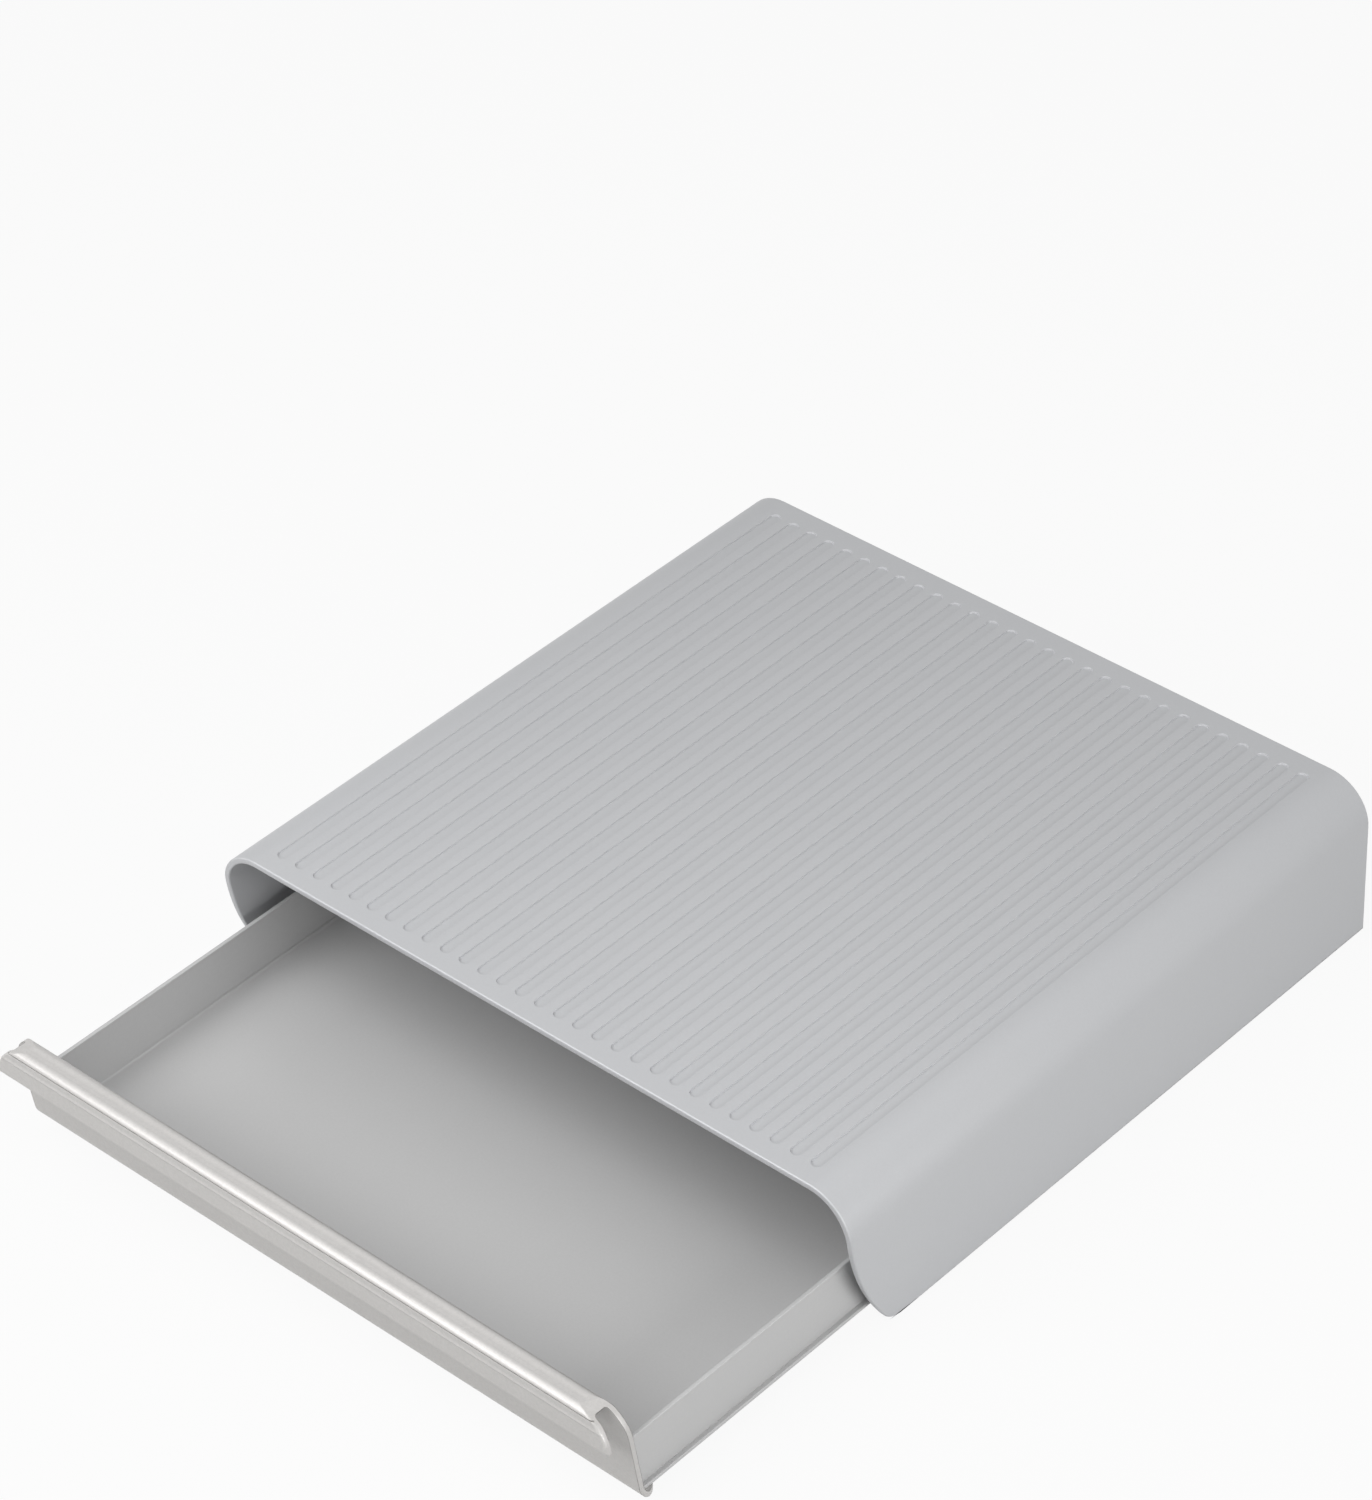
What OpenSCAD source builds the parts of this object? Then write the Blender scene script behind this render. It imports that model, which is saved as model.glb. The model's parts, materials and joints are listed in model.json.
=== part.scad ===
// Coffee pod drawer: a stand for a coffee machine with one pull-out pod drawer.
// Millimetres. +X is to the right, +Y runs from the drawer's front to the back
// and +Z is up. The origin is on the table, under the middle of the whole
// object as drawn, which is with the drawer pulled out by open_by.
// The drawer takes six rows of six pods, each about 51 mm across the lid.

/* [Cover] */
// Width of the cover over its side walls
cover_w = 330.4; // [300:0.1:400]
// Depth of the cover from its front edge to its rear edge
cover_d = 317; // [280:1:400]
// Height of the cover from its bottom edge to its top face
cover_h = 72.6; // [68:0.1:100]
// Thickness of the cover
cover_t = 2.8; // [2.2:0.1:3.4]
// Outside radius of the cover's two long top corners
cover_r = 20; // [12:1:26]
// Height above its bottom edge at which a side wall starts to sweep back
sweep_from = 64; // [56:1:66]
// Radius of that sweep, seen from the side
sweep_r = 105; // [85:1:130]
// Radius of the toe where the sweep meets the bottom edge
toe_r = 10; // [5:1:16]

/* [Top channels] */
// Number of shallow channels in the top
channel_count = 29; // [5:2:29]
// Distance from one channel to the next
channel_pitch = 10; // [8:0.1:10.4]
// Width of a channel
channel_w = 5.2; // [3:0.1:6]
// Depth of a channel
channel_depth = 0.8; // [0.4:0.1:1.2]
// Plain margin in front of the channels
channel_front = 8.9; // [6:0.1:30]
// Plain margin behind the channels
channel_rear = 9.4; // [8:0.1:30]

/* [Base] */
// Thickness of the base panel
base_t = 2.3; // [1.8:0.1:3]
// Height of the base panel's underside above the cover's bottom edge
base_lift = 1.6; // [1.4:0.1:3]
// Distance from the closed front's flange back to the base panel
base_setback = 6; // [3:0.5:10]
// Number of stiffening ribs on the base panel
base_ribs = 5; // [1:2:9]
// Height of those ribs
base_rib_h = 1.5; // [0.8:0.1:2]
// Width of those ribs
base_rib_w = 1.8; // [1:0.1:3]
// Radius of a rubber foot
foot_r = 8; // [5:0.5:9]
// How far the feet stand out below the cover
foot_drop = 1.5; // [0.8:0.1:3]
// Radius of the stem that plugs a foot into the base panel
foot_stem_r = 2.4; // [1.5:0.1:3]
// Distance of a foot's centre from the cover's side
foot_side = 30; // [26:1:60]
// Distance of the front feet from the base panel's front edge
foot_front = 11; // [10:1:60]
// Distance of the rear feet from the cover's rear edge
foot_rear = 24; // [16:1:80]

/* [Rails] */
// Thickness of the rail under the drawer's runner
rail_floor_t = 2.4; // [1.6:0.1:3]
// Width of the rail's foot that lies on the base panel
rail_foot_w = 14; // [9:0.5:20]
// Thickness of the ledge that holds the runner down
rail_cap_t = 2; // [1.4:0.1:3]
// Thickness of the rail's upright web
rail_web_t = 3.7; // [3.4:0.1:5]
// Distance from the base panel's front edge back to the rails
rail_setback = 3; // [1:0.5:8]
// Distance from the back of the rails to the rear panel
rail_rear_gap = 1; // [0.5:0.1:5]
// Height of a stop block
stop_h = 7; // [5:0.5:10]
// Length of a stop block
stop_len = 10; // [8:0.5:14]
// Distance from the front of the rail to its stop block
stop_setback = 3; // [0:0.5:8]
// Length of the drawer's stop lug
lug_len = 8; // [4:0.5:14]
// How far the stop lug stands out from the drawer's side
lug_out = 1.5; // [1:0.1:1.6]

/* [Rear panel] */
// Thickness of the rear panel
rear_t = 2; // [1.6:0.1:3]
// How far the rear panel is sunk in from the cover's rear edge
rear_inset = 1.5; // [1.4:0.1:4]
// Number of tabs that drop into the base panel
tab_count = 3; // [2:1:5]
// Width of a tab
tab_w = 20; // [8:1:40]
// Thickness of a buffer's rubber pad
buffer_t = 1.2; // [0.8:0.1:3]
// Radius of a buffer
buffer_r = 5; // [3:0.5:8]
// Distance of a buffer's centre from the cover's side
buffer_side = 45.2; // [28:0.1:100]
// Height of the buffers above the drawer's floor
buffer_up = 13; // [9:0.5:18]
// Distance of the outer rear panel screws from the cover's side
rear_screw_side = 45.2; // [36:0.1:100]

/* [Screws] */
// Radius of every screw's shank
screw_r = 1.1; // [0.9:0.05:1.2]
// Radius of every screw's head
head_r = 2.1; // [1.8:0.1:2.3]
// Thickness of every screw's head
head_t = 1.2; // [0.8:0.1:1.3]
// Length of thread in a boss
thread_len = 8; // [5:0.5:12]
// Plastic around a screw in a boss
boss_wall = 1.45; // [1.2:0.05:1.6]
// Number of screws in each rail behind its stop block
rail_screw_count = 3; // [2:1:5]
// Distance of the rearmost of them from the cover's rear edge
rail_screw_rear = 18; // [14:1:40]

/* [Drawer tray] */
// Thickness of the tray's floor
floor_t = 1.8; // [1.4:0.1:2.6]
// Thickness of the tray's walls
wall_t = 1.8; // [1.4:0.1:2.6]
// Height of the tray's walls above the top of its floor
wall_h = 25.6; // [20:0.1:36]
// Width of the runner that stands out below each side wall
runner_w = 2; // [1.6:0.1:3]
// Height of the bosses for the front's screws
front_boss_h = 3.6; // [3:0.1:6]

/* [Drawer front] */
// Height of the front, from its bottom edge to the top of its lip
front_h = 52; // [46:0.1:56]
// Thickness of the front
front_t = 2.2; // [1.8:0.1:2.8]
// Lean of the panel from the upright
panel_lean = 7.8; // [4:0.1:12]
// Outside radius of the curl at the bottom of the panel
curl_r = 9.5; // [7:0.1:12]
// Radius of the front's top corners, seen from the front
front_corner_r = 16; // [8:0.5:20]
// Depth of the finger gap at its roof
grip_w = 6.4; // [5:0.1:12]
// Drop of the flap from the top of the lip to its lower edge
flap_drop = 15; // [13:0.1:24]
// Thickness of the flap
flap_t = 2.8; // [2:0.1:3.6]
// How far the flap bulges between its edges
flap_bulge = 0.5; // [0:0.1:1]
// Radius of the bead along the top of the flap
bead_r = 3.3; // [2.8:0.1:3.8]
// Radius that turns the bead under, above the groove
nose_r = 0.6; // [0.4:0.1:0.8]
// Depth of the dip between the bead and the panel
dip = 0.2; // [0.1:0.05:0.6]
// Height of the groove under the bead
groove_h = 0.35; // [0.2:0.05:0.6]
// How far the fine ridge across the flap stands out
ridge = 0.3; // [0.1:0.05:0.5]
// Depth of the flange that the tray's floor rests on
flange_d = 13; // [11:0.5:15]
// Radius of the flange's rear corners, seen from below
flange_corner_r = 11; // [6:0.5:11]
// Number of screws between the tray and its front
front_screw_count = 5; // [2:1:6]
// Distance between two of those screws
front_screw_pitch = 51.5; // [30:0.5:55]

/* [Fits] */
// Gap between the runner and the rail below it
run_gap = 0.3; // [0.2:0.05:0.5]
// Gap between the runner and the ledge above it
cap_gap = 0.4; // [0.3:0.05:0.6]
// Gap beside the runner and beside the tray's wall
side_gap = 0.5; // [0.3:0.05:0.8]
// Gap between the drawer front and the cover's side walls
front_gap = 1.4; // [0.8:0.1:2]
// Gap between pieces that are fixed together
fit = 0.1; // [0.05:0.01:0.2]
// How far the closed lip stands out in front of the cover
lip_out = 9.1; // [6:0.1:20]
// Gap left at the drawer's two stops
stop_gap = 0.3; // [0.2:0.1:0.5]

/* [Pose] */
// How far the drawer is pulled out as drawn
open_by = 118; // [0:1:200]
// How much further it comes out before it meets its stops
open_more = 100; // [40:1:120]

/* [Hidden] */
$fn = 96;

cover_color = "#C4C5C7";
tray_color = "#B4B5B6";
front_color = "#CBCCCE";
base_color = "#8E9092";
rail_color = "#DADAD6";
rubber_color = "#2B2B2C";
steel_color = "#A8AAAC";

// Overlap that joins the solids of one piece, and the reach of cutting tools
sink = 0.4;
past = 5;

// Heights above the table
cover_z = foot_drop;
top_z = cover_z + cover_h;
under_z = top_z - cover_t;
base_z = cover_z + base_lift;
base_top_z = base_z + base_t;
rail_top_z = base_top_z + rail_floor_t;
floor_z = rail_top_z + run_gap;
floor_top_z = floor_z + floor_t;
wall_top_z = floor_top_z + wall_h;
cap_z = floor_top_z + cap_gap;
cap_top_z = cap_z + rail_cap_t;
stop_top_z = cap_top_z + stop_h;

// Side view of the drawer front, as [distance behind the flap, height]
front_z = floor_z - fit - front_t;
front_top_z = front_z + front_h;
lean = tan(panel_lean);
roof_t = 0.8 * front_t;
roof_z = front_top_z - dip - roof_t;
roof_fillet = 0.8;
panel_top_d = flap_t + flap_bulge + grip_w;
curl_z = front_z + curl_r;
curl_d = panel_top_d + (roof_z - front_z) * lean + curl_r * tan((90 - panel_lean) / 2);
flange_end_d = curl_d + flange_d - curl_r;
front_screw_d = flange_end_d - head_r - 1;
shoulder_r = 4;
shoulder_z = front_top_z - shoulder_r;
shoulder_d = back_face(shoulder_z) - shoulder_r / cos(panel_lean);

// The flap: its lower edge is a hem, its upper edge the bead
flap_z = front_top_z - flap_drop;
flap_back_d = flap_bulge + flap_t;
hem_thin = 0.4;
hem_r = (flap_t - hem_thin) / 2;
hem_z = flap_z + hem_r;
bead_z = front_top_z - bead_r;
bead_d = bead_r + 0.3;
bead_from = 150;
nose_from = 225;
nose_d = bead_d + (bead_r - nose_r) * cos(bead_from);
nose_z = bead_z + (bead_r - nose_r) * sin(bead_from);
groove_z = nose_z + nose_r * sin(nose_from) - groove_h;
groove_sink = 0.3;
ridge_z = flap_z + flap_drop * 0.57;
ridge_h = 0.5;

// Distance of the leaning panel's front and back behind the flap
function front_face(z) = panel_top_d + (roof_z - z) * lean;
function back_face(z) = front_face(z) + front_t / cos(panel_lean);
// Distance of the flap's front: a shallow bow between its two edges
function flap_face(z) = flap_bulge * (1 - sin(180 * (z - flap_z) / (groove_z - flap_z)));
// Height i of n equal steps on the way from one height to another
function step(from, to, i, n) = from + (to - from) * i / n;
function arc(d, z, r, from, to, n) =
    [for (i = [0:n]) [d + r * cos(step(from, to, i, n)), z + r * sin(step(from, to, i, n))]];

// Every point of that side view, clockwise from the flange under the tray
front_points = concat(
    [[flange_end_d, front_z + front_t], [flange_end_d, front_z]],
    // around the curl, up the panel's front and around the roof of the finger gap
    arc(curl_d, curl_z, curl_r, 270, 180 + panel_lean, 12),
    [[front_face(roof_z - roof_fillet), roof_z - roof_fillet],
     [panel_top_d - roof_fillet, roof_z],
     [flap_back_d + roof_fillet, roof_z],
     [flap_back_d, roof_z - roof_fillet]],
    // down the back of the flap, around its hem and up its front to the ridge
    [for (i = [1:6]) let (z = step(roof_z - roof_fillet, hem_z, i, 6))
        [flap_face(z) + flap_t - hem_thin * i / 6, z]],
    arc(flap_face(hem_z) + hem_r, hem_z, hem_r, 0, -180, 8),
    [for (i = [1:4]) let (z = step(hem_z, ridge_z - ridge_h, i, 4)) [flap_face(z), z]],
    [[flap_face(ridge_z) - ridge, ridge_z],
     [flap_face(ridge_z) - ridge, ridge_z + ridge_h],
     [flap_face(ridge_z + 2 * ridge_h), ridge_z + 2 * ridge_h]],
    // into the groove, around the nose, over the bead and through the dip behind it
    [[flap_face(groove_z - groove_sink), groove_z - groove_sink],
     [flap_face(groove_z), groove_z],
     [nose_d, groove_z - groove_sink],
     [nose_d, groove_z + groove_h / 2]],
    arc(nose_d, nose_z, nose_r, nose_from, bead_from + 15, 4),
    arc(bead_d, bead_z, bead_r, bead_from, 75, 10),
    [for (i = [1:5]) let (u = i / 6, d = step(bead_d, shoulder_d, 1 + 3 * u, 4))
        [d, front_top_z - dip * (1 - pow(2 * u - 1, 2)) * (1 - 0.3 * u)]],
    // around the panel's shoulder, down its back and around the inside of the curl
    arc(shoulder_d, shoulder_z, shoulder_r, 90, 0, 8),
    arc(curl_d, curl_z, curl_r - front_t, 180 + panel_lean, 270, 10));

// Places along Y, from the front of the open drawer's flap to the rear edge
length = cover_d + lip_out + open_by;
flap_y = -length / 2;
rear_y = length / 2;
cover_y = rear_y - cover_d;
rear_face_y = rear_y - rear_inset;
rear_in_y = rear_face_y - rear_t;
base_y = flap_y + open_by + flange_end_d + base_setback;
rail_y = base_y + rail_setback;
rail_end_y = rear_in_y - rail_rear_gap;
tray_end_y = rear_in_y - buffer_t - stop_gap - open_by;

// Places across X, each measured from the middle
cover_x = cover_w / 2;
cover_in_x = cover_x - cover_t;
rail_x = cover_in_x - fit;
web_x = rail_x - rail_web_t;
runner_x = web_x - side_gap;
wall_x = runner_x - runner_w;
wall_in_x = wall_x - wall_t;
cap_x = wall_x + side_gap;
screw_x = rail_x - rail_web_t / 2;
front_x = cover_in_x - front_gap;

// Screws, their holes and what is left past their tips
hole_r = screw_r + 0.15;
pilot_r = screw_r + 0.05;
boss_r = screw_r + boss_wall;
pan_taper = 0.82;
pilot_tip = 1;
boss_tip = 3;
front_boss_r = boss_r + 0.4;
front_boss_skin = 0.8;
front_tip_gap = 0.4;
rear_boss_z = under_z - boss_r + sink;
rear_screw_x = cover_x - rear_screw_side;
buffer_x = cover_x - buffer_side;

// Stops, the screws along the sides and the feet
stop_y = rail_y + stop_setback;
stop_screw_y = stop_y + stop_len / 2;
rail_screw_step = (rear_y - rail_screw_rear - stop_screw_y) / rail_screw_count;
lug_y = stop_y + stop_len + open_more + stop_gap;
foot_x = cover_x - foot_side;
feet_y = [base_y + foot_front, rear_y - foot_rear];
foot_taper = 0.6;

// Turns a drawing of the side view, as [Y, Z], into a solid centred on X
module along_x(w) {
    translate([-w / 2, 0, 0])
        rotate([90, 0, 90])
            linear_extrude(w) children();
}

// Turns a drawing of the front view, as [X, Z], into a solid that ends at y
module along_y(y, d) {
    translate([0, y, 0])
        rotate([90, 0, 0])
            linear_extrude(d) children();
}

// A box given by its low and high corners
module box(low, high) {
    translate(low) cube(high - low);
}

// The same piece on the left and on the right
module both_sides() {
    children();
    mirror([1, 0, 0]) children();
}

// Upright arch: a rectangle from z to top with its top corners rounded
module arch(x, z, top, r) {
    translate([-x, z]) square([2 * x, top - r - z]);
    translate([r - x, z]) square([2 * (x - r), top - z]);
    for (s = [-1, 1])
        translate([s * (x - r), top - r]) circle(r);
}

// Side view of what the sweep leaves of the cover
module swept_side() {
    centre = [cover_y + sweep_r, cover_z + sweep_from];
    toe_run = sqrt(pow(sweep_r - toe_r, 2) - pow(sweep_from - toe_r, 2));
    toe = [centre[0] - toe_run, cover_z + toe_r];
    reach = (sweep_r + past) / (sweep_r - toe_r);
    difference() {
        union() {
            translate(centre) circle(sweep_r, $fn = 240);
            translate([centre[0], cover_z]) square([rear_y - centre[0], cover_h]);
            translate([cover_y, centre[1]]) square([cover_d, top_z - centre[1]]);
        }
        difference() {
            polygon([toe, centre + (toe - centre) * reach, [cover_y - past, cover_z - past],
                [toe[0], cover_z - past]]);
            translate(toe) circle(toe_r);
        }
        translate([cover_y - past, cover_z - sweep_r])
            square([cover_d + 2 * past, sweep_r]);
        translate([cover_y - past, top_z])
            square([cover_d + 2 * past, sweep_r]);
        translate([rear_y, cover_z - past])
            square([sweep_r, cover_h + 2 * past]);
    }
}

// Pan-head screw that points up from the face it clamps
module pan_screw(len) {
    translate([0, 0, -head_t]) cylinder(h = head_t, r1 = head_r * pan_taper, r2 = head_r);
    cylinder(h = len, r = screw_r);
}

// Countersunk screw that points up from the face it is flush with
module flush_screw(len) {
    cylinder(h = head_t, r1 = head_r, r2 = screw_r);
    cylinder(h = len, r = screw_r);
}

// Boss that a screw bites into, standing on the face that it clamps
module boss() {
    cylinder(h = thread_len + boss_tip, r = boss_r);
}

// Blind hole in that boss
module pilot() {
    translate([0, 0, -past]) cylinder(h = thread_len + pilot_tip + past, r = pilot_r);
}

// Place of the right side's front screw, which also holds the stop block
module at_stop_screw() {
    translate([screw_x, stop_screw_y, 0]) children();
}

// Places of the screws behind it, which hold the rail
module at_rail_screws() {
    for (i = [1:rail_screw_count])
        translate([screw_x, stop_screw_y + i * rail_screw_step, 0]) children();
}

module at_every_side_screw() {
    at_stop_screw() children();
    at_rail_screws() children();
}

// Places of the rear panel's screws, pointing forwards
module at_rear_screws() {
    for (x = [-rear_screw_x, 0, rear_screw_x])
        translate([x, rear_face_y, rear_boss_z]) rotate([90, 0, 0]) children();
}

// Places of the tabs under the rear panel
module at_tabs() {
    step = 2 * foot_x / tab_count;
    for (i = [0:tab_count - 1])
        translate([(i - (tab_count - 1) / 2) * step, 0, 0]) children();
}

// Places of the screws that join the tray to its front
module at_front_screws() {
    for (i = [0:front_screw_count - 1])
        translate([(i - (front_screw_count - 1) / 2) * front_screw_pitch,
            flap_y + front_screw_d, 0]) children();
}

// Moulded cover: top, two side walls and the bosses that its screws bite into
module housing_cover() {
    color(cover_color)
    difference() {
        union() {
            intersection() {
                along_y(rear_y, cover_d)
                difference() {
                    arch(cover_x, cover_z, top_z, cover_r);
                    arch(cover_in_x, cover_z - past, under_z, cover_r - cover_t);
                }
                along_x(cover_w + 2 * past) swept_side();
            }
            both_sides() {
                at_rail_screws()
                    translate([0, 0, cap_top_z + fit]) boss();
                at_stop_screw()
                    translate([0, 0, stop_top_z + fit]) boss();
            }
            at_rear_screws()
                translate([0, 0, rear_t + fit]) boss();
        }
        for (i = [0:channel_count - 1])
            translate([(i - (channel_count - 1) / 2) * channel_pitch, 0, top_z - channel_depth])
                channel();
        both_sides() {
            at_rail_screws()
                translate([0, 0, cap_top_z + fit]) pilot();
            at_stop_screw()
                translate([0, 0, stop_top_z + fit]) pilot();
        }
        at_rear_screws()
            translate([0, 0, rear_t + fit]) pilot();
    }
}

// One round-ended channel, cut from its floor upwards
module channel() {
    r = channel_w / 2;
    low = cover_y + channel_front + r;
    high = rear_y - channel_rear - r;
    box([-r, low, 0], [r, high, past]);
    for (y = [low, high])
        translate([0, y, 0]) cylinder(h = past, r = r);
}

// Base panel: ties the side walls together under the drawer
module base_panel() {
    x = cover_in_x - fit;
    rib_step = 2 * (cap_x - rail_foot_w - 2 * base_rib_w) / (base_ribs + 1);
    color(base_color)
    difference() {
        union() {
            box([-x, base_y, base_z], [x, rear_face_y, base_top_z]);
            for (i = [0:base_ribs - 1])
                translate([(i - (base_ribs - 1) / 2) * rib_step, 0, 0])
                    box([-base_rib_w / 2, rail_y + past, base_top_z - sink],
                        [base_rib_w / 2, rail_end_y - past, base_top_z + base_rib_h]);
        }
        both_sides() {
            at_every_side_screw()
                translate([0, 0, base_z - past]) cylinder(h = base_t + 2 * past, r = hole_r);
            for (y = feet_y)
                translate([foot_x, y, base_z - past])
                    cylinder(h = base_t + 2 * past, r = foot_stem_r + fit);
        }
        at_tabs()
            box([-tab_w / 2 - fit, rear_in_y - fit, base_z - past],
                [tab_w / 2 + fit, rear_face_y + past, base_top_z + past]);
    }
}

// Rear panel: closes the back and carries the two buffers
module rear_panel() {
    color(cover_color)
    difference() {
        union() {
            along_y(rear_face_y, rear_t)
                arch(cover_in_x - fit, base_top_z + fit, under_z - fit, cover_r - cover_t - fit);
            at_tabs()
                box([-tab_w / 2, rear_in_y, base_z + fit],
                    [tab_w / 2, rear_face_y, base_top_z + fit + sink]);
        }
        at_rear_screws()
            translate([0, 0, -past]) cylinder(h = rear_t + 2 * past, r = hole_r);
        at_buffers()
            translate([0, 0, -past]) cylinder(h = rear_t + 2 * past, r = buffer_r / 2 + fit);
    }
}

// Places of the two buffers, pointing forwards from the rear panel's back
module at_buffers() {
    both_sides() at_right_buffer() children();
}

module at_right_buffer() {
    translate([buffer_x, rear_face_y, floor_top_z + buffer_up])
        rotate([90, 0, 0]) children();
}

// Rubber buffer with a stem that plugs into the rear panel
module buffer() {
    at_right_buffer() {
        cylinder(h = rear_t + sink, r = buffer_r / 2);
        translate([0, 0, rear_t]) cylinder(h = buffer_t, r = buffer_r);
    }
}

module right_buffer() {
    color(rubber_color) buffer();
}

module left_buffer() {
    color(rubber_color) mirror([1, 0, 0]) buffer();
}

// Rail: a channel on its side that the drawer's runner slides in
module rail() {
    difference() {
        union() {
            box([cap_x - rail_foot_w, rail_y, base_top_z], [rail_x, rail_end_y, rail_top_z]);
            box([web_x, rail_y, base_top_z], [rail_x, rail_end_y, cap_top_z]);
            box([cap_x, rail_y, cap_z], [rail_x, rail_end_y, cap_top_z]);
        }
        at_every_side_screw()
            translate([0, 0, base_top_z - past])
                cylinder(h = cap_top_z - base_top_z + 2 * past, r = hole_r);
    }
}

module right_rail() {
    color(rail_color) rail();
}

module left_rail() {
    color(rail_color) mirror([1, 0, 0]) rail();
}

// Stop block: screwed on over the rail's front end once the drawer is in
module stop_block() {
    difference() {
        box([cap_x, stop_y, cap_top_z], [rail_x, stop_y + stop_len, stop_top_z]);
        at_stop_screw()
            translate([0, 0, cap_top_z - past]) cylinder(h = stop_h + 2 * past, r = hole_r);
    }
}

module right_stop_block() {
    color(rail_color) stop_block();
}

module left_stop_block() {
    color(rail_color) mirror([1, 0, 0]) stop_block();
}

// Rubber foot with a stem that plugs into the base panel
module foot(x, y) {
    color(rubber_color)
    translate([x, y, 0]) {
        cylinder(h = base_z, r1 = foot_r - foot_taper, r2 = foot_r);
        cylinder(h = base_top_z, r = foot_stem_r);
    }
}

module front_left_foot() {
    foot(-foot_x, feet_y[0]);
}

module front_right_foot() {
    foot(foot_x, feet_y[0]);
}

module rear_left_foot() {
    foot(-foot_x, feet_y[1]);
}

module rear_right_foot() {
    foot(foot_x, feet_y[1]);
}

// Screws that clamp the base and the rails to the cover
module rail_screws() {
    color(steel_color)
    both_sides() at_rail_screws()
        translate([0, 0, base_z]) pan_screw(cap_top_z + fit + thread_len - base_z);
}

// Longer screws that pass through the stop blocks too
module stop_block_screws() {
    color(steel_color)
    both_sides() at_stop_screw()
        translate([0, 0, base_z]) pan_screw(stop_top_z + fit + thread_len - base_z);
}

// Screws that hold the top of the rear panel
module rear_panel_screws() {
    color(steel_color)
    at_rear_screws() pan_screw(rear_t + thread_len);
}

// Tray: floor, side walls, rear wall, runners, stop lugs and screw bosses
module drawer_tray() {
    color(tray_color)
    difference() {
        union() {
            box([-runner_x, flap_y + panel_top_d, floor_z],
                [runner_x, tray_end_y, floor_top_z]);
            both_sides() {
                box([wall_in_x, flap_y + panel_top_d, floor_top_z - sink],
                    [wall_x, tray_end_y, wall_top_z]);
                box([wall_x - sink, lug_y, cap_top_z + cap_gap],
                    [wall_x + lug_out, lug_y + lug_len, stop_top_z - cap_gap]);
            }
            box([-wall_x, tray_end_y - wall_t, floor_top_z - sink],
                [wall_x, tray_end_y, wall_top_z]);
            at_front_screws()
                translate([0, 0, floor_top_z - sink])
                    cylinder(h = front_boss_h + sink, r = front_boss_r);
        }
        along_x(cover_w) translate([flap_y + fit, 0]) front_of_panel();
        at_front_screws()
            translate([0, 0, floor_z - past])
                cylinder(h = past + floor_t + front_boss_h - front_boss_skin, r = pilot_r);
    }
}

// Side view of everything in front of the panel's back face
module front_of_panel() {
    polygon(concat(
        [[-past, front_z + front_t], [-past, wall_top_z + past],
         [back_face(wall_top_z + past), wall_top_z + past]],
        arc(curl_d, curl_z, curl_r - front_t, 180 + panel_lean, 270, 10)));
}

// Front: leaning panel, curled under the tray, with a hooked pull along its top
module drawer_front() {
    color(front_color)
    difference() {
        intersection() {
            along_x(2 * front_x + 2 * past) translate([flap_y, 0]) polygon(front_points);
            along_y(flap_y + flange_end_d + past, flange_end_d + 2 * past)
                arch(front_x, front_z - past, front_top_z, front_corner_r);
            translate([0, 0, front_z - past])
                linear_extrude(front_h + 2 * past)
                    arch(front_x, flap_y - past, flap_y + flange_end_d, flange_corner_r);
        }
        at_front_screws()
            translate([0, 0, front_z]) {
                translate([0, 0, -past]) cylinder(h = front_t + 2 * past, r = hole_r);
                cylinder(h = head_t + fit, r1 = head_r + 2 * fit, r2 = screw_r + fit);
            }
    }
}

// Screws that join the tray's floor to the front's flange
module front_screws() {
    tip_z = floor_top_z + front_boss_h - front_boss_skin - front_tip_gap;
    color(steel_color)
    at_front_screws()
        translate([0, 0, front_z]) flush_screw(tip_z - front_z);
}

housing_cover();
base_panel();
rear_panel();
left_rail();
right_rail();
left_stop_block();
right_stop_block();
left_buffer();
right_buffer();
front_left_foot();
front_right_foot();
rear_left_foot();
rear_right_foot();
rail_screws();
stop_block_screws();
rear_panel_screws();
drawer_tray();
drawer_front();
front_screws();
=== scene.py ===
"""Coffee pod drawer: a low stand with one pull-out drawer, dressed around its fixed CAD frame."""

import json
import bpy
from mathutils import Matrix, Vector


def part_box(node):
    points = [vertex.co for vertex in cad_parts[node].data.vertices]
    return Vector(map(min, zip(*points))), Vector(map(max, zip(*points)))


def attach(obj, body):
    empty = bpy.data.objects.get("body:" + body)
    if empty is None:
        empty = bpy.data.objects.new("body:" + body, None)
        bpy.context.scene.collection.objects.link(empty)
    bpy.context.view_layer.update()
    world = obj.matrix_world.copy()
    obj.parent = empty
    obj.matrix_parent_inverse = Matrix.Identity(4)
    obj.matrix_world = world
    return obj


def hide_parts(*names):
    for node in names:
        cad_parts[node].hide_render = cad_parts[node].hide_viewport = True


bl_info = {
    "name": "Coffee Pod Drawer",
    "version": (1, 0, 0),
    "blender": (4, 5, 0),
    "location": "3D View > Sidebar > Pod Drawer",
    "description": "Models and finishes a coffee machine stand with a pull-out pod drawer",
    "category": "Object",
}

from math import acos, cos, degrees, hypot, pi, radians, sin, sqrt, tan

import bmesh
import bpy
from bpy.props import FloatProperty, FloatVectorProperty, IntProperty, PointerProperty
from bpy.types import Operator, Panel, PropertyGroup
from mathutils import Matrix, Vector

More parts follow.
